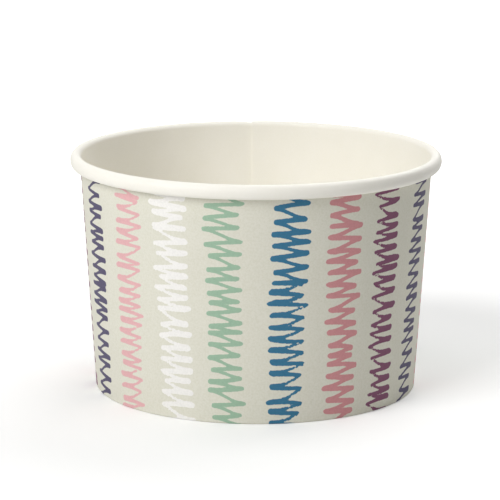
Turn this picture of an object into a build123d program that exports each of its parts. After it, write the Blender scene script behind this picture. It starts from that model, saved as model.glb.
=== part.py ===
from build123d import *
import math
import os

# Paper food cup: a cone of printed board with a rolled rim, a lapped seam and a folded foot,
# and a board base held in the fold. Millimetres, +Z up.
# The origin is the middle of the foot, on the table. The seam is at the back, towards +Y.

# Cup
RIM_DIAMETER = 90.0        # across the rolled rim
HEIGHT = 57.6              # table to the top of the rim
FOOT_DIAMETER = 78.2       # across the wall's outside where its line meets the table
BOARD = 0.36               # thickness of the side wall's board
MOST_KINK = 48.0           # most degrees that the board turns at one kink of a bend

# Rolled rim
ROLL_WIDTH = 2.66          # inside face of the wall to the outermost point of the rim
ROLL_HEIGHT = 3.4          # underside of the roll to its top
ROLL_FLAT_ARC = 60.0       # degrees of the flatter arc that faces outward
ROLL_TURN = 326.0          # degrees from upright through which the board is curled
ROLL_GAP = 0.1             # clearance between the lapped wall and the curled end

# Seam
SEAM_AZIMUTH = 91.3        # degrees from +X to the inner cut edge
LAP_WIDTH = 6.0            # board doubled at the seam, measured just under the rim
RAMP_WIDTH = 1.6           # length over which the outer layer climbs onto the inner one
LAP_PRESS = 0.04           # how much thinner the two glued layers are than two boards

# Folded foot
HEM_HEIGHT = 6.0           # table to the free edge of the hem

# Base
BASE_BOARD = 0.32          # thickness of the base's board
RECESS = 7.0               # table to the underside of the base
SKIRT_CLEARANCE = 0.05     # between the skirt and the board on each side of it
SKIRT_LIFT = 0.25          # skirt's lower edge above the inside of the fold

rim_radius = RIM_DIAMETER / 2
foot_radius = FOOT_DIAMETER / 2
layer_step = BOARD - LAP_PRESS
fold_width = BASE_BOARD + 2 * SKIRT_CLEARANCE
half_cos = math.cos(math.radians(ROLL_FLAT_ARC / 2))
half_sin = math.sin(math.radians(ROLL_FLAT_ARC / 2))
top_span = half_cos + 1                                     # width of the top arc over its radius
lower_span = half_cos + math.cos(math.radians(ROLL_TURN))   # and of the lower arc over its own


def roll_radii():
    """Outer radii of the roll's top, outward and lower arcs.

    The top and outward arcs fill the roll's width, the outward and lower ones fill what is left
    of it beside the lapped wall, and all three fill its height.
    """
    curled_width = ROLL_WIDTH - BOARD - layer_step - ROLL_GAP
    rise = (1 - half_sin) * (ROLL_WIDTH / top_span + curled_width / lower_span)
    lost = (1 - half_sin) * (1 - half_cos) * (1 / top_span + 1 / lower_span)
    side = (ROLL_HEIGHT - rise) / (2 * half_sin - lost)
    top = (ROLL_WIDTH - (1 - half_cos) * side) / top_span
    lower = (curled_width - (1 - half_cos) * side) / lower_span
    return top, side, lower


def wall_tilt(roll_top):
    """Degrees of the wall from upright: its line runs from the foot and touches the roll's top arc."""
    across = rim_radius - ROLL_WIDTH + roll_top - foot_radius
    up = HEIGHT - roll_top
    tilt = math.atan2(across, up) - math.asin((roll_top - BOARD) / math.hypot(across, up))
    return math.degrees(tilt)


def direction(heading):
    """Unit vector of a heading in degrees clockwise from up, in the plane of radius and height."""
    angle = math.radians(heading)
    return Vector(math.sin(angle), math.cos(angle))


ROLL_TOP, ROLL_SIDE, ROLL_LOWER = roll_radii()
TILT = wall_tilt(ROLL_TOP)
along = direction(TILT)          # up the wall
outward = direction(TILT + 90)   # square to the wall, away from the axis
foot_point = Vector(foot_radius, 0)


def wall_point(depth, height):
    """Point at the given height on a line parallel to the wall, its depth inside the outer face."""
    point = foot_point - outward * depth
    return point + along * ((height - point.Y) / along.Y)


def sheet_side(start, heading, moves, side):
    """Corners of one face of a bent sheet: straights (length, 0) and bends (radius, turn clockwise).

    The moves describe the middle of the sheet, and side is the face's distance to its left. A
    bend is a chain of equal kinks, with flats between them that touch its arc, so the two faces
    stay parallel. One no wider than half the sheet leaves a single crease on its inner side.
    """
    point = start + direction(heading - 90) * side
    corners = [point]
    for size, turn in moves:
        if turn == 0:
            point += direction(heading) * size
            continue
        radius = max(0, size + math.copysign(1, turn) * side)
        kinks = math.ceil(abs(turn) / MOST_KINK) if radius > 0 else 1
        half_flat = radius * math.tan(math.radians(abs(turn) / kinks / 2))
        for _ in range(kinks):
            point += direction(heading) * half_flat
            corners.append(point)
            heading += turn / kinks
            point += direction(heading) * half_flat
    return corners + [point]


def sheet_section(start, heading, moves, thickness):
    """Face of a bent sheet's cut, in the plane of radius and height."""
    left = sheet_side(start, heading, moves, thickness / 2)
    right = sheet_side(start, heading, moves, -thickness / 2)
    return make_face(Polyline(left + right[::-1], close=True))


def wall_section(step):
    """The side wall's cut, from the hem's free edge round the fold and up to the tucked end.

    Step moves the sheet onto its printed side, as the outer layer of the seam lies on the inner one.
    """
    corner = BOARD / 2
    corner_height = BOARD
    wall_start = wall_point(BOARD / 2 - step + corner, corner_height) + outward * corner
    hem_offset = BOARD + fold_width + 2 * step
    flat = (hem_offset - 2 * corner) / along.Y
    hem_end = wall_point(BOARD / 2 - step + hem_offset - corner, corner_height) - outward * corner
    hem = (HEM_HEIGHT - hem_end.Y) / along.Y
    roll_centre = Vector(rim_radius - ROLL_WIDTH + ROLL_TOP, HEIGHT - ROLL_TOP)
    wall = (roll_centre - wall_start).dot(along)
    top_bend = ROLL_TOP - BOARD / 2 - step
    side_bend = ROLL_SIDE - BOARD / 2 - step
    lower_bend = ROLL_LOWER - BOARD / 2 - step * half_cos / lower_span
    half_arc = ROLL_FLAT_ARC / 2
    # The top and outward bends are in two parts, so that a flat lies where each reaches furthest
    moves = [
        (hem, 0),
        (corner, -90 - TILT),
        (flat, 0),
        (corner, -90 + TILT),
        (wall, 0),
        (top_bend, 90 - TILT),
        (top_bend, 90 - half_arc),
        (side_bend, half_arc),
        (side_bend, half_arc),
        (lower_bend, ROLL_TURN - 180 - half_arc),
    ]
    return sheet_section(hem_end + along * hem, 180 + TILT, moves, BOARD)


def base_section():
    """The base's cut: half of the disc, the corner and the skirt, parallel to the wall."""
    corner = BASE_BOARD / 2
    disc_height = RECESS + BASE_BOARD / 2
    skirt_depth = BOARD + SKIRT_CLEARANCE + BASE_BOARD / 2
    corner_centre = wall_point(skirt_depth + corner, disc_height - corner)
    skirt_top = corner_centre + outward * corner
    skirt = (skirt_top.Y - BOARD - SKIRT_LIFT) / along.Y
    moves = [
        (corner_centre.X, 0),
        (corner, 90 + TILT),
        (skirt, 0),
    ]
    return sheet_section(Vector(0, disc_height), 90, moves, BASE_BOARD)


def at_azimuth(section, azimuth):
    """A section stood upright, with its radius pointing to the azimuth."""
    return Rot(0, 0, azimuth) * (Plane.XZ * section)


def turned(section, start, angle):
    """A section carried round the cup's axis from the start azimuth."""
    return Rot(0, 0, start) * revolve(Plane.XZ * section, axis=Axis.Z, revolution_arc=angle)


def side_wall():
    """Single board most of the way round, the ramp at the inner cut edge, and the doubled lap."""
    single = wall_section(0)
    raised = wall_section(layer_step)
    seam_radius = wall_point(0, HEIGHT - ROLL_HEIGHT).X
    lap_angle = math.degrees(LAP_WIDTH / seam_radius)
    ramp_angle = math.degrees(RAMP_WIDTH / seam_radius)
    lap_start = SEAM_AZIMUTH - lap_angle
    ramp_end = SEAM_AZIMUTH + ramp_angle
    lap = turned(single + raised, lap_start, lap_angle)
    ramp = loft([at_azimuth(raised, SEAM_AZIMUTH), at_azimuth(single, ramp_end)], ruled=True)
    rest = turned(single, ramp_end, 360 - lap_angle - ramp_angle)
    return rest + ramp + lap


def base():
    """Recessed disc with its edge turned down into the fold."""
    return turned(base_section(), 0, 360)


os.makedirs("parts", exist_ok=True)
export_step(side_wall(), "parts/side_wall.step")
export_step(base(), "parts/base.step")
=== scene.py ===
import math

import bpy
import numpy as np
from mathutils import Matrix, Vector

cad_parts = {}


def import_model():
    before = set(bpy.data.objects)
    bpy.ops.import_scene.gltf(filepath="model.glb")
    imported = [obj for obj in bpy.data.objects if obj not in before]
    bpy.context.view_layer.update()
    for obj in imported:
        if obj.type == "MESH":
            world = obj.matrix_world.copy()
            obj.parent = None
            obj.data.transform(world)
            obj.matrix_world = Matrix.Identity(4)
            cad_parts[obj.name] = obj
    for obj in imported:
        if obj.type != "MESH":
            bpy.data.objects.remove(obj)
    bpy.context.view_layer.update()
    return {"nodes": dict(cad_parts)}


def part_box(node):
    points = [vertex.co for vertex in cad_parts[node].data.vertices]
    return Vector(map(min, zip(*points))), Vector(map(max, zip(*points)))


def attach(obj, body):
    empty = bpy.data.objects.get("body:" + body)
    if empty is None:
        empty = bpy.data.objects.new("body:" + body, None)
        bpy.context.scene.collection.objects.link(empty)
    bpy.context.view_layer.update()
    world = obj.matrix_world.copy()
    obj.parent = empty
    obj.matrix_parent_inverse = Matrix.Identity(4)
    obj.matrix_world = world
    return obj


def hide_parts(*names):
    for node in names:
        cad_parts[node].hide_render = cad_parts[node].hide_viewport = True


# Paper food cup: printed board side wall with a rolled rim, a lapped seam and a folded foot, on a
# white board base. Metres, +Z up, origin in the middle of the foot, the front towards -Y.

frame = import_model()
MM = 0.001

# Cup
wall_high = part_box("side_wall")[1]
RIM_RADIUS = wall_high.x
HEIGHT = wall_high.z
FOOT_RADIUS = 39.1 * MM     # wall's outside where its line meets the table
BOARD = 0.36 * MM           # thickness of the side wall's board

# Rolled rim
ROLL_WIDTH = 2.66 * MM      # inside face of the wall to the outermost point of the rim
ROLL_HEIGHT = 3.4 * MM      # underside of the roll to its top
ROLL_FLAT_ARC = 60.0        # degrees of the flatter arc that faces outward
ROLL_TURN = 326.0           # degrees from upright through which the board is curled
ROLL_GAP = 0.1 * MM         # clearance between the lapped wall and the curled end

# Seam
SEAM_AZIMUTH = 91.3         # degrees from +X to the inner cut edge
LAP_WIDTH = 6.0 * MM        # board doubled at the seam
RAMP_WIDTH = 4.5 * MM       # length over which the pressed outer layer eases onto the inner one
LAYER_STEP = 0.32 * MM      # rise of the outer layer on the inner one

# Folded foot and base
HEM_HEIGHT = 6.0 * MM       # table to the free edge of the hem
FOLD_WIDTH = 0.42 * MM      # between the two layers of the fold, where the base's skirt sits
KNURL_COUNT = 184           # pressed ripples round the foot
KNURL_LEAN = 3000           # radians of a ripple's phase per metre of height

# Printed stripes
STRIPE_COUNT = 19           # round the cup
FIRST_STRIPE = 90.1         # azimuth of the first stripe after the seam's outer cut edge, in degrees
INK_HALF_WIDTH = 7.6        # degrees on each side of a stripe's middle that its line may reach
PRINT_SEED = 5              # of the first stripe, and one more for each stripe after it

# Pen, in mm where it isn't a share
LINE_START = 0, 2           # least and most that a line starts above the rim
LINE_END = 4                # it ends this far below the foot
STROKE_POINTS = 9           # points along a stroke
END_SLOPE = 0.02            # keeps a returning stroke from lying quite flat at its ends
LEVEL_FALL = 0.2, 0.9       # least and most that a level stroke falls
TURN_FALL = 0.1             # fall of the turn between two strokes
TURN_EASE = 0.14            # added to it, times how flat the returning stroke is there
TURN_SPREAD = 0.6, 1.4      # least and most of what is added, as shares
REACH_SPREAD = 0.42         # how much the strokes' half widths vary
BOW_SPREAD = 0.12           # how much the level strokes bow up or down
PITCH_SPREAD = 0.15         # share by which the pitch varies
LEAST_PITCH = 0.62          # least share of the pitch
WEIGHT_SPREAD = 0.08        # share by which the level strokes' weight varies
LEVEL_DRYNESS = 0.15        # share of the stripe's dryness that a level stroke has
TURNED_EASE = 0.8, 0.8      # how flat the returning strokes start and end where the pen had turned
TURNED_DRYNESS = 0.1        # dryness there
NEVER = 9                   # share of the height for a pen that hadn't turned anywhere

# Mesh
INK_STATIONS = 20           # columns of faces across a stripe
HEM_ROWS = 4                # rows of faces up the hem
CORNER_ROWS = 4             # rows round each corner of the fold
WALL_ROWS = 180             # rows up the wall
ROLLED_ROWS = 4             # the last of those, hidden in the roll and so not finely divided
TOP_ROWS = 14               # rows round the roll's top arc
SIDE_ROWS = 6               # rows round its outward arc
LOWER_ROWS = 8              # rows round its lower arc
WHITE_STEP = 20             # printed rows to one row of the wall's white side
CUT_EDGE = 0.02             # degrees over which a cut edge of the seam steps
CLEAR = 0.3                 # degrees beside a cut edge that are kept free of other columns
SHARP_ANGLE = 40            # degrees between two faces from which their edge is sharp
SAME = 0.001 * MM           # points closer than this are one
FAR = 5 * MM                # ink distance written where there is no ink near

# Camera and light
CAMERA_AIM = (-1.38 * MM, 0, 33.0 * MM)
CAMERA_DISTANCE = 0.6626
CAMERA_PITCH = 12.336       # degrees that it looks down
CAMERA_ROLL = 0.0034        # radians that it leans to its left
CAMERA_LENS = 195.36        # focal length
CAMERA_SENSOR = 36          # width of its sensor
CAMERA_CLIP = 0.01, 20      # nearest and farthest that it sees
SKY_STRENGTH = 0.18         # strength of the light from all round
FLOOR_SIZE = 6
FLOOR_DROP = 0.02 * MM      # foot to floor
FLOOR_CLOUD = 0.3           # size of the floor's faint clouds
FLOOR_GLOW = 0.18           # floor's own light at the cup
GLOW_RISE = 2 * RIM_RADIUS, 8 * RIM_RADIUS      # distances between which that light rises to its full
LAMP_DISTANCE = 0.8         # lamps to the middle of the cup

seam_radius = RIM_RADIUS - ROLL_WIDTH
LAP_START = SEAM_AZIMUTH - math.degrees(LAP_WIDTH / seam_radius)    # outer cut edge
RAMP_END = SEAM_AZIMUTH + math.degrees(RAMP_WIDTH / seam_radius)
STRIPE_PITCH = 360 / STRIPE_COUNT


def linear(red, green, blue):
    """Linear colour of the red, green and blue that a screen shows, from 0 to 255."""
    shares = np.array([red, green, blue]) / 255
    curve = np.where(shares <= 0.04045, shares / 12.92, ((shares + 0.055) / 1.055) ** 2.4)
    return (*(float(c) for c in curve), 1.0)


# Shader maths

class Value:
    """A number on a surface: a socket whose operators add Math nodes."""

    def __init__(self, shader, socket):
        self.shader = shader
        self.socket = socket

    def maths(self, operation, *others):
        """A Math node's result from this number and any others."""
        inputs = {i: v for i, v in enumerate((self, *others))}
        return self.shader.node("ShaderNodeMath", inputs, operation=operation)

    def __add__(self, other):
        return self.maths("ADD", other)

    def __sub__(self, other):
        return self.maths("SUBTRACT", other)

    def __mul__(self, other):
        return self.maths("MULTIPLY", other)

    __radd__ = __add__
    __rmul__ = __mul__

    def __rsub__(self, other):
        return self.maths("MULTIPLY", -1.0) + other

    def sine(self):
        return self.maths("SINE")

    def ramp(self, low, high):
        """0 below low, 1 above high, and an even rise between them."""
        inputs = {"Value": self, "From Min": low, "From Max": high}
        return self.shader.node("ShaderNodeMapRange", inputs, output="Result")


class Finish:
    """A material being made: a surface shader and the nodes that feed it."""

    def __init__(self, name, **constants):
        self.material = bpy.data.materials.new(name)
        self.material.use_nodes = True
        self.tree = self.material.node_tree
        self.surface = self.tree.nodes["Principled BSDF"]
        for socket, value in constants.items():
            self.surface.inputs[socket.replace("_", " ")].default_value = value

    def node(self, kind, inputs=None, output=0, **settings):
        """Adds a node with its settings, then the values or links of its sockets."""
        made = self.tree.nodes.new(kind)
        for name, value in settings.items():
            setattr(made, name, value)
        for name, value in (inputs or {}).items():
            if isinstance(value, Value):
                self.tree.links.new(value.socket, made.inputs[name])
            else:
                made.inputs[name].default_value = value
        return Value(self, made.outputs[output])

    def feed(self, socket, value):
        """Links a value to a socket of the surface."""
        self.tree.links.new(value.socket, self.surface.inputs[socket])

    def attribute(self, name, output="Fac"):
        """A number or colour that the mesh's points carry."""
        return self.node("ShaderNodeAttribute", output=output, attribute_name=name)

    def place(self):
        """Place of a point in the piece's own frame."""
        return self.node("ShaderNodeTexCoord", output="Object")

    def axes(self):
        """The place's x, y and z."""
        return [self.node("ShaderNodeSeparateXYZ", {0: self.place()}, output=axis) for axis in "XYZ"]

    def noise(self, size, detail=2.0, roughness=0.5):
        """Cloudy noise from about -0.2 to 0.2 whose blots are about size across."""
        inputs = {"Vector": self.place(), "Scale": 1 / size, "Detail": detail, "Roughness": roughness}
        return self.node("ShaderNodeTexNoise", inputs) - 0.5

    def mix(self, factor, first, second):
        """Colour between first, at factor 0, and second, at factor 1."""
        inputs = {0: factor, 6: first, 7: second}
        return self.node("ShaderNodeMix", inputs, output=2, data_type="RGBA")

    def shade(self, colour, amount):
        """Colour times an amount."""
        inputs = {0: 1.0, 6: colour, 7: amount}
        return self.node("ShaderNodeMix", inputs, output=2, data_type="RGBA", blend_type="MULTIPLY")

    def bump(self, height, distance):
        """Surface relief: height times a distance."""
        self.feed("Normal", self.node("ShaderNodeBump", {"Height": height, "Distance": distance}))


# Finishes

PURE_WHITE = (1, 1, 1, 1)
BOARD_WHITE = linear(250, 247, 239)
BOARD_SHADE = linear(245, 242, 230)
GROUND = linear(228, 226, 213)
GROUND_DARK = linear(221, 219, 203)
FLOOR_PALE = linear(244, 244, 243)
FLOOR_SHADE = linear(242, 242, 241)
DARKER_SHARE = 0.35         # mean share of the darker tone on a board
FIBRE = 0.45 * MM           # size of the board's fibre grain
RELIEF = 0.012 * MM         # depth of the surface relief, times the heights below
FIBRE_HEIGHT = 0.7
CLOUD_HEIGHT = 2.0
KNURL_HEIGHT = 0.7
FIBRE_GLOSS = 0.25          # how much the fibres change the roughness
SOFT_EDGE = 0.04            # mm on each side of the ink's edge over which it fades
EDGE_RAGGED = 0.22          # mm that the ink's edge wanders with the grain
DRY_RAGGED = 1.7            # mm that it wanders where the pen is quite dry
DRY_LOSS = 0.16             # mm that it draws back there
MOTTLE = 0.08               # share of the ink's light that is lost between the fibres
KNURL_START = 1 * MM, 2.5 * MM                          # heights between which the ripples rise
KNURL_END = HEM_HEIGHT, HEM_HEIGHT + 1.5 * MM           # heights between which they fade


def white_board():
    """Coated white board: fine fibre grain, faint cloudy tone and a soft sheen."""
    finish = Finish("white_board", Specular_IOR_Level=0.3)
    clouds = finish.noise(9 * MM, detail=3)
    fibres = finish.noise(FIBRE, detail=3)
    tone = clouds * 0.9 + fibres * 0.8 + DARKER_SHARE
    finish.feed("Base Color", finish.mix(tone, BOARD_WHITE, BOARD_SHADE))
    finish.feed("Roughness", fibres * FIBRE_GLOSS + 0.48)
    finish.bump(fibres * FIBRE_HEIGHT + clouds * CLOUD_HEIGHT, RELIEF)
    return finish.material


def printed_board():
    """Board printed with a stone ground and inked zigzags, whose edges are slightly ragged.

    A point is inked where its distance to the nearest line, plus some noise, is below zero. Where
    the line runs dry the noise is stronger, so the ink breaks up. Slanting ripples across the foot
    are the print of the wheel that pressed its fold.
    """
    finish = Finish("printed_board", Specular_IOR_Level=0.2)
    fibres = finish.noise(FIBRE, detail=3)
    clouds = finish.noise(11 * MM, detail=3)
    edge_grain = finish.noise(0.5 * MM)
    dry_grain = finish.noise(0.9 * MM, detail=3, roughness=0.6)
    dryness = finish.attribute("dryness")
    distance = finish.attribute("ink_distance") * (1 / MM)
    ragged = distance + edge_grain * EDGE_RAGGED + dryness * (dry_grain * DRY_RAGGED + DRY_LOSS)
    inked = 1 - ragged.ramp(-SOFT_EDGE, SOFT_EDGE)
    tone = clouds * 0.7 + fibres * 3.0 + DARKER_SHARE
    ground = finish.mix(tone, GROUND, GROUND_DARK)
    ink = finish.attribute("ink_colour", output="Color")
    mottled = finish.shade(ink, 1 - fibres.ramp(-0.15, 0.2) * MOTTLE)
    finish.feed("Base Color", finish.mix(inked, ground, mottled))
    finish.feed("Roughness", fibres * FIBRE_GLOSS + 0.62 - inked * 0.06)
    x, y, z = finish.axes()
    band = z.ramp(*KNURL_START) * (1 - z.ramp(*KNURL_END))
    knurl = (y.maths("ARCTAN2", x) * KNURL_COUNT - z * KNURL_LEAN).sine() * band
    finish.bump(fibres * FIBRE_HEIGHT + clouds * CLOUD_HEIGHT + knurl * KNURL_HEIGHT, RELIEF)
    return finish.material


WHITE = white_board()


# Shape of the side wall

def roll_radii():
    """Outer radii of the roll's top, outward and lower arcs, which fill its width and height."""
    half_cos = math.cos(math.radians(ROLL_FLAT_ARC / 2))
    half_sin = math.sin(math.radians(ROLL_FLAT_ARC / 2))
    top_span = half_cos + 1
    lower_span = half_cos + math.cos(math.radians(ROLL_TURN))
    curled_width = ROLL_WIDTH - BOARD - LAYER_STEP - ROLL_GAP
    rise = (1 - half_sin) * (ROLL_WIDTH / top_span + curled_width / lower_span)
    lost = (1 - half_sin) * (1 - half_cos) * (1 / top_span + 1 / lower_span)
    side = (ROLL_HEIGHT - rise) / (2 * half_sin - lost)
    top = (ROLL_WIDTH - (1 - half_cos) * side) / top_span
    lower = (curled_width - (1 - half_cos) * side) / lower_span
    return top, side, lower, half_cos / lower_span


ROLL_TOP, ROLL_SIDE, ROLL_LOWER, LOWER_SHARE = roll_radii()
roll_inset = RIM_RADIUS - ROLL_WIDTH + ROLL_TOP - FOOT_RADIUS
roll_rise = HEIGHT - ROLL_TOP
roll_slant = math.hypot(roll_inset, roll_rise)
TILT = math.atan2(roll_inset, roll_rise) - math.asin((ROLL_TOP - BOARD) / roll_slant)
along = np.array([math.sin(TILT), math.cos(TILT)])
outward = np.array([math.cos(TILT), -math.sin(TILT)])


def wall_point(depth, height):
    """Radius and height of a point on a line parallel to the wall, its depth inside the outer face."""
    point = np.array([FOOT_RADIUS, 0]) - outward * depth
    return point + along * ((height - point[1]) / along[1])


def sheet_faces(step):
    """Both faces of the bent board, as rows of radius and height from the hem round to the roll.

    The middle of the board is followed by straights and tangent arcs, and each face lies half
    the board to its left (the white side) or right (the printed side). Step moves the whole
    board towards its printed side, as the outer layer of the seam lies on the inner one.
    """
    corner = BOARD / 2
    wall_start = wall_point(BOARD / 2 - step + corner, BOARD) + outward * corner
    hem_offset = BOARD + FOLD_WIDTH + 2 * step
    hem_end = wall_point(BOARD / 2 - step + hem_offset - corner, BOARD) - outward * corner
    roll_centre = np.array([RIM_RADIUS - ROLL_WIDTH + ROLL_TOP, HEIGHT - ROLL_TOP])
    hem = (HEM_HEIGHT - hem_end[1]) / along[1]
    flat = (hem_offset - 2 * corner) / along[1]
    wall = (roll_centre - wall_start) @ along
    arc = math.radians(ROLL_FLAT_ARC)
    lower_turn = math.radians(ROLL_TURN) - math.pi - arc / 2
    # length or middle radius, turn clockwise, rows of faces
    moves = [
        (hem, 0, HEM_ROWS),
        (corner, -math.pi / 2 - TILT, CORNER_ROWS),
        (flat, 0, 1),
        (corner, -math.pi / 2 + TILT, CORNER_ROWS),
        (wall, 0, WALL_ROWS),
        (ROLL_TOP - BOARD / 2 - step, math.pi - arc / 2 - TILT, TOP_ROWS),
        (ROLL_SIDE - BOARD / 2 - step, arc, SIDE_ROWS),
        (ROLL_LOWER - BOARD / 2 - step * LOWER_SHARE, lower_turn, LOWER_ROWS),
    ]
    heading = math.pi + TILT
    point = hem_end + along * hem
    middle, left = [point[None]], [np.array([[-math.cos(heading), math.sin(heading)]])]
    for size, turn, rows in moves:
        share = np.linspace(0, 1, rows + 1)[1:]
        headings = heading + turn * share
        sides = np.stack([-np.cos(headings), np.sin(headings)], 1)
        if turn == 0:
            points = point + np.outer(size * share, [math.sin(heading), math.cos(heading)])
        else:
            centre = point - left[-1][-1] * math.copysign(size, turn)
            points = centre + sides * math.copysign(size, turn)
        middle.append(points)
        left.append(sides)
        point = points[-1]
        heading += turn
    middle, left = np.concatenate(middle), np.concatenate(left)
    return middle + left * BOARD / 2, middle - left * BOARD / 2


def cut_edge(azimuth):
    """Azimuths of the two sides of a cut edge's step."""
    return azimuth - CUT_EDGE / 2, azimuth + CUT_EDGE / 2


def wall_stations():
    """Azimuths of the side wall's columns of points, closer together across the stripes.

    The even ones carry every row of the mesh. The odd ones lie between them, and carry only the
    printed rows.
    """
    across = np.linspace(-INK_HALF_WIDTH, INK_HALF_WIDTH, INK_STATIONS // 2 + 1)
    stripes = FIRST_STRIPE + STRIPE_PITCH * np.arange(STRIPE_COUNT)
    azimuths = (stripes[:, None] + across).ravel() % 360
    edges = np.array([*cut_edge(LAP_START), *cut_edge(SEAM_AZIMUTH), RAMP_END])
    clear = np.abs(azimuths[:, None] - edges).min(1) > CLEAR
    even = np.sort(np.concatenate([azimuths[clear], edges]))
    odd = (even + np.append(even[1:], even[0] + 360)) / 2
    return np.stack([even, odd], 1).ravel()


def wall_mesh_rows(azimuths):
    """Points of the side wall, row by row round its section and column by column round the cup.

    The white face is followed from hem to roll, and the printed one back. At the seam the white
    face steps outward at the inner cut edge and the printed one at the outer cut edge, and both
    come back along the ramp. Also says which rows are printed, and which are finely divided.
    """
    white, printed = sheet_faces(0)
    white_lap, printed_lap = sheet_faces(LAYER_STEP)
    order = np.arange(len(white))
    flat_end = HEM_ROWS + CORNER_ROWS + 1
    fine_end = flat_end + CORNER_ROWS + WALL_ROWS - ROLLED_ROWS
    in_wall = (order > flat_end) & (order < fine_end)
    on_white = np.append(True, np.hypot(*np.diff(white, axis=0).T) > SAME)
    on_white &= ~in_wall | (order % WHITE_STEP == 0)
    on_printed = np.append(True, np.hypot(*np.diff(printed, axis=0).T) > SAME)
    fine = (order > HEM_ROWS) & (order <= fine_end)
    inner_share = np.interp(azimuths, [*cut_edge(SEAM_AZIMUTH), RAMP_END], [0, 1, 0])
    outer_share = np.interp(azimuths, [*cut_edge(LAP_START), SEAM_AZIMUTH, RAMP_END], [0, 1, 1, 0])
    white_rows = white[:, None] + (white_lap - white)[:, None] * inner_share[:, None]
    printed_rows = printed[:, None] + (printed_lap - printed)[:, None] * outer_share[:, None]
    section = np.concatenate([white_rows[on_white], printed_rows[on_printed][::-1]])
    is_printed = np.arange(len(section)) >= on_white.sum()
    is_fine = np.concatenate([np.zeros(on_white.sum(), bool), fine[on_printed][::-1]])
    angle = np.radians(azimuths)
    radius, height = section[..., 0], section[..., 1]
    points = np.stack([radius * np.cos(angle), radius * np.sin(angle), height], 2)
    return points, is_printed, is_fine


def closed_faces(number, is_fine):
    """Faces between neighbouring rows of numbered points, closed both ways round.

    Two fine rows join in four-sided faces at every column, two coarse rows at every second one,
    and a coarse row joins a fine one in five-sided faces. Gives the faces, and the row and the
    column where each begins.
    """
    rows = np.arange(len(number))
    columns = np.arange(number.shape[1])
    below, above = number, np.roll(number, -1, 0)
    fine_above = np.roll(is_fine, -1)
    faces, places = [], []

    def add(chosen, *corners):
        stacked = np.stack([c[chosen] for c in reversed(corners)], 2)
        faces.extend(stacked.reshape(-1, len(corners)).tolist())
        first = columns[::len(columns) // stacked.shape[1]]
        places.append(np.stack(np.meshgrid(rows[chosen], first, indexing="ij"), 2).reshape(-1, 2))

    every = np.roll(below, -1, 1), np.roll(above, -1, 1)
    add(is_fine & fine_above, below, every[0], every[1], above)
    low, low_mid, low_next = below[:, 0::2], below[:, 1::2], np.roll(below[:, 0::2], -1, 1)
    high, high_mid, high_next = above[:, 0::2], above[:, 1::2], np.roll(above[:, 0::2], -1, 1)
    add(~is_fine & ~fine_above, low, low_next, high_next, high)
    add(~is_fine & fine_above, low, low_next, high_next, high_mid, high)
    add(is_fine & ~fine_above, low, low_mid, low_next, high_next, high)
    return faces, *np.concatenate(places).T


# Printed stripes

# Each stripe's ink; lean, the side to which its returning strokes fall; ease, how flat they start
# and end; weights of its level and returning strokes, reach, its mean half width, and pitch, all in
# mm; dry, how dry they run; turned, the share of the height above which the pen leaned the other way;
# shift, the degrees that it lies off its even place; drift, the mm that it moves from rim to foot.
STRIPES = [
    dict(ink=(232, 182, 184), lean=-1, ease=(0.3, 1.7), weights=(1.05, 0.62), reach=3.4, pitch=2.8,
         dry=0.6, turned=0.93, shift=0.8, drift=-2.0),
    dict(ink=(249, 247, 243), lean=1, ease=(0.3, 1.1), weights=(1.32, 0.86), reach=3.6, pitch=2.85,
         dry=0.55, turned=0.84, shift=0.1, drift=0.9),
    dict(ink=(162, 193, 168), lean=1, ease=(0.7, 0.5), weights=(1.04, 0.76), reach=3.55, pitch=2.85,
         dry=0.1, turned=NEVER, shift=-1.1, drift=0.4),
    dict(ink=(60, 120, 153), lean=-1, ease=(0.3, 1.5), weights=(1.2, 0.85), reach=3.5, pitch=3.0,
         dry=0.85, turned=0.6, shift=0.9, drift=-1.0),
    dict(ink=(214, 150, 153), lean=-1, ease=(0.7, 0.9), weights=(1.18, 1.0), reach=3.5, pitch=2.95,
         dry=0.1, turned=0.85, shift=1.2, drift=0.1),
    dict(ink=(134, 84, 111), lean=1, ease=(0.2, 1.7), weights=(1.22, 0.66), reach=3.5, pitch=2.7,
         dry=0.6, turned=NEVER, shift=-0.4, drift=1.3),
    dict(ink=(88, 82, 110), lean=-1, ease=(1.5, 0.5), weights=(0.98, 0.66), reach=3.4, pitch=2.8,
         dry=0.1, turned=NEVER, shift=0.3, drift=-1.2),
]


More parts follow.
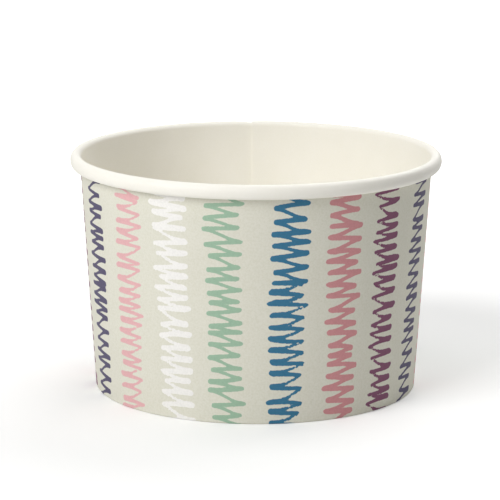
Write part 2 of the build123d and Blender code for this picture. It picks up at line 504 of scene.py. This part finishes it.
def zigzag(stripe, random):
    """One stripe's hand-drawn line: places across and up, half width and dryness of its points.

    A level stroke crosses the stripe, and a returning stroke falls back to the next one, with a
    slope that is the product of two powers of the way along it. It is thinnest and driest where
    it is steepest, and a level stroke thins towards an end that meets a steep one. Pitch, reach,
    slope, bow and weight vary a little from stroke to stroke.
    """
    share = np.linspace(0, 1, STROKE_POINTS)
    level_weight, return_weight = np.array(stripe["weights"]) * MM
    rows = []
    height = HEIGHT + random.uniform(*LINE_START) * MM
    while height > -LINE_END * MM:
        upper = height > stripe["turned"] * HEIGHT
        lean = -stripe["lean"] if upper else stripe["lean"]
        ease = TURNED_EASE if upper else stripe["ease"]
        dry = TURNED_DRYNESS if upper else stripe["dry"]
        speed = (share + END_SLOPE) ** ease[0] * (1 + END_SLOPE - share) ** ease[1]
        steepness = speed / speed.max()
        fallen = np.append(0, np.cumsum(speed[1:] + speed[:-1]))
        fallen /= fallen[-1]
        pitch = stripe["pitch"] * max(LEAST_PITCH, random.normal(1, PITCH_SPREAD)) * MM
        start, end, onward = (stripe["reach"] + random.normal(0, REACH_SPREAD, 3)) * MM
        level_fall = random.uniform(*LEVEL_FALL) * MM
        turns = TURN_FALL + TURN_EASE * np.array(ease) * random.uniform(*TURN_SPREAD, 2)
        turn_fall, last_fall = turns * MM
        return_fall = pitch - level_fall - turn_fall - last_fall
        bow = random.normal(0, BOW_SPREAD) * MM
        weight = level_weight * random.normal(1, WEIGHT_SPREAD)
        drift = stripe["drift"] * (0.5 - height / HEIGHT) * MM
        level_across = lean * (start - (start + end) * share) + drift
        level_height = height - level_fall * share + bow * np.sin(np.pi * share)
        return_across = lean * (-end + (end + onward) * share) + drift
        return_height = height - level_fall - turn_fall - return_fall * fallen
        thinned = steepness[-1] * (1 - share) + steepness[0] * share
        width = weight + (return_weight - weight) * np.stack([thinned, steepness])
        level_dryness = np.full(STROKE_POINTS, LEVEL_DRYNESS * dry)
        rows.append(np.stack([level_across, level_height, width[0], level_dryness], 1))
        rows.append(np.stack([return_across, return_height, width[1], dry * steepness], 1))
        height -= pitch
    across, height, width, dryness = np.concatenate(rows).T
    return across, height, width / 2, dryness


def ink_on(points):
    """Ink's signed distance, dryness and colour at points of the printed face.

    Each stripe is laid flat: x is the angle from its middle times the wall's mean radius, and z
    the height. The distance to the line is the least one to its pieces, less their half width.
    """
    azimuths = np.degrees(np.arctan2(points[:, 1], points[:, 0]))
    mean_radius = (FOOT_RADIUS + RIM_RADIUS - ROLL_WIDTH) / 2
    distance = np.full(len(points), FAR)
    dryness = np.zeros(len(points))
    colour = np.tile(np.array(GROUND), (len(points), 1))
    for i in range(STRIPE_COUNT):
        stripe = STRIPES[i % len(STRIPES)]
        middle = FIRST_STRIPE + STRIPE_PITCH * i + stripe["shift"]
        off = (azimuths - middle + 180) % 360 - 180
        near = np.flatnonzero(np.abs(off) < STRIPE_PITCH / 2)
        x = np.radians(off[near, None]) * mean_radius
        z = points[near, 2, None]
        across, height, half, dry = zigzag(stripe, np.random.default_rng(PRINT_SEED + i))
        dx, dz = np.diff(across), np.diff(height)
        square = np.maximum(dx**2 + dz**2, SAME**2)
        t = np.clip(((x - across[:-1]) * dx + (z - height[:-1]) * dz) / square, 0, 1)
        gap = np.hypot(x - across[:-1] - t * dx, z - height[:-1] - t * dz)
        gap = gap - half[:-1] - t * np.diff(half)
        best = np.arange(len(near)), gap.argmin(1)
        distance[near] = gap[best]
        dryness[near] = (dry[:-1] + t * np.diff(dry))[best]
        colour[near] = linear(*stripe["ink"])
    return distance, dryness, colour


def carry_print(mesh, points, used, is_fine):
    """Writes the print's numbers on the used points of a mesh, with no ink on the coarse rows."""
    fine_points = points[is_fine]
    distance, dryness, colour = ink_on(fine_points.reshape(-1, 3))
    # name, kind, where it is written, what a coarse row has, what the fine rows have
    layers = [
        ("ink_distance", "FLOAT", "value", FAR, distance),
        ("dryness", "FLOAT", "value", 0.0, dryness),
        ("ink_colour", "FLOAT_COLOR", "color", GROUND, colour),
    ]
    for name, kind, field, plain, found in layers:
        numbers = np.tile(plain, (*used.shape, 1))
        numbers[is_fine] = found.reshape(*fine_points.shape[:2], -1)
        mesh.attributes.new(name, kind, "POINT").data.foreach_set(field, numbers[used].ravel())


def side_wall():
    """The side wall as one closed surface that carries the print."""
    azimuths = wall_stations()
    points, is_printed, is_fine = wall_mesh_rows(azimuths)
    used = np.ones(points.shape[:2], bool)
    used[~is_fine, 1::2] = False
    number = np.full(used.shape, -1)
    number[used] = np.arange(used.sum())
    faces, on_row, on_column = closed_faces(number, is_fine)
    mesh = bpy.data.meshes.new("side_wall_board")
    mesh.from_pydata(points[used].tolist(), [], faces)
    # The outer cut edge and the column of faces after it are left white
    between_printed = (is_printed & np.roll(is_printed, -1))[on_row]
    at_cut_edge = np.abs(azimuths[on_column] - LAP_START) < CUT_EDGE
    mesh.polygons.foreach_set("material_index", np.where(between_printed & ~at_cut_edge, 0, 1))
    mesh.polygons.foreach_set("use_smooth", np.ones(len(faces), bool))
    mesh.set_sharp_from_angle(angle=math.radians(SHARP_ANGLE))
    mesh.materials.append(printed_board())
    mesh.materials.append(WHITE)
    carry_print(mesh, points, used, is_fine)
    mesh.validate()
    piece = bpy.data.objects.new("side_wall_board", mesh)
    bpy.context.scene.collection.objects.link(piece)
    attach(piece, "root")
    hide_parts("side_wall")


side_wall()

base = frame["nodes"]["base"]
base.data.materials.clear()
base.data.materials.append(WHITE)


# Floor, light and camera

def floor():
    """A wide pale floor just under the foot.

    To the camera it is white away from the cup, and near it a little glow leaves only the cup's
    soft shadow.
    """
    bpy.ops.mesh.primitive_plane_add(size=FLOOR_SIZE, location=(0, 0, -FLOOR_DROP))
    made = bpy.context.object
    made.name = "floor"
    finish = Finish("floor", Roughness=0.9, Specular_IOR_Level=0.0)
    tone = finish.noise(FLOOR_CLOUD) * 0.1 + 0.5
    finish.feed("Base Color", finish.mix(tone, FLOOR_PALE, FLOOR_SHADE))
    away = finish.node("ShaderNodeVectorMath", {0: finish.place()}, output="Value", operation="LENGTH")
    seen = finish.node("ShaderNodeLightPath", output="Is Camera Ray")
    finish.feed("Emission Strength", seen * (away.ramp(*GLOW_RISE) + FLOOR_GLOW))
    finish.surface.inputs["Emission Color"].default_value = PURE_WHITE
    made.data.materials.append(finish.material)


def world():
    """White to the camera, to gloss and to glass, and a soft pale light to everything else."""
    made = bpy.data.worlds.new("studio")
    made.use_nodes = True
    nodes, links = made.node_tree.nodes, made.node_tree.links
    background = nodes["Background"]
    background.inputs["Color"].default_value = PURE_WHITE
    path = nodes.new("ShaderNodeLightPath")
    seen = path.outputs["Is Camera Ray"]
    for ray in ("Is Glossy Ray", "Is Transmission Ray"):
        either = nodes.new("ShaderNodeMath")
        either.operation = "MAXIMUM"
        links.new(seen, either.inputs[0])
        links.new(path.outputs[ray], either.inputs[1])
        seen = either.outputs[0]
    strength = nodes.new("ShaderNodeMapRange")
    strength.inputs["To Min"].default_value = SKY_STRENGTH
    strength.inputs["To Max"].default_value = 1.0
    links.new(seen, strength.inputs["Value"])
    links.new(strength.outputs["Result"], background.inputs["Strength"])
    bpy.context.scene.world = made


def lamp(name, azimuth, elevation, size, power):
    """A square soft lamp that faces the middle of the cup. Azimuth 0 is the front, and 90 the right."""
    data = bpy.data.lights.new(name, "AREA")
    data.size = size
    data.energy = power
    made = bpy.data.objects.new(name, data)
    a, e = math.radians(azimuth), math.radians(elevation)
    away = Vector((math.sin(a) * math.cos(e), -math.cos(a) * math.cos(e), math.sin(e)))
    made.location = Vector((0, 0, HEIGHT / 2)) + away * LAMP_DISTANCE
    made.rotation_euler = away.to_track_quat("Z", "Y").to_euler()
    bpy.context.scene.collection.objects.link(made)


def camera():
    """A long lens that looks down at the front of the cup, turned slightly on its own axis."""
    data = bpy.data.cameras.new("camera")
    data.lens = CAMERA_LENS
    data.sensor_width = CAMERA_SENSOR
    data.clip_start, data.clip_end = CAMERA_CLIP
    made = bpy.data.objects.new("camera", data)
    pitch = math.radians(CAMERA_PITCH)
    back = Vector((0, -math.cos(pitch), math.sin(pitch)))
    turn = back.to_track_quat("Z", "Y").to_matrix() @ Matrix.Rotation(CAMERA_ROLL, 3, "Z")
    made.matrix_world = Matrix.Translation(Vector(CAMERA_AIM) + back * CAMERA_DISTANCE) @ turn.to_4x4()
    bpy.context.scene.collection.objects.link(made)
    bpy.context.scene.camera = made


floor()
world()
lamp("key", azimuth=-44, elevation=34, size=0.45, power=3.9)
lamp("top", azimuth=0, elevation=88, size=0.55, power=1.8)
lamp("behind", azimuth=148, elevation=45, size=0.6, power=2.6)
camera()
bpy.context.scene.view_settings.view_transform = "Standard"
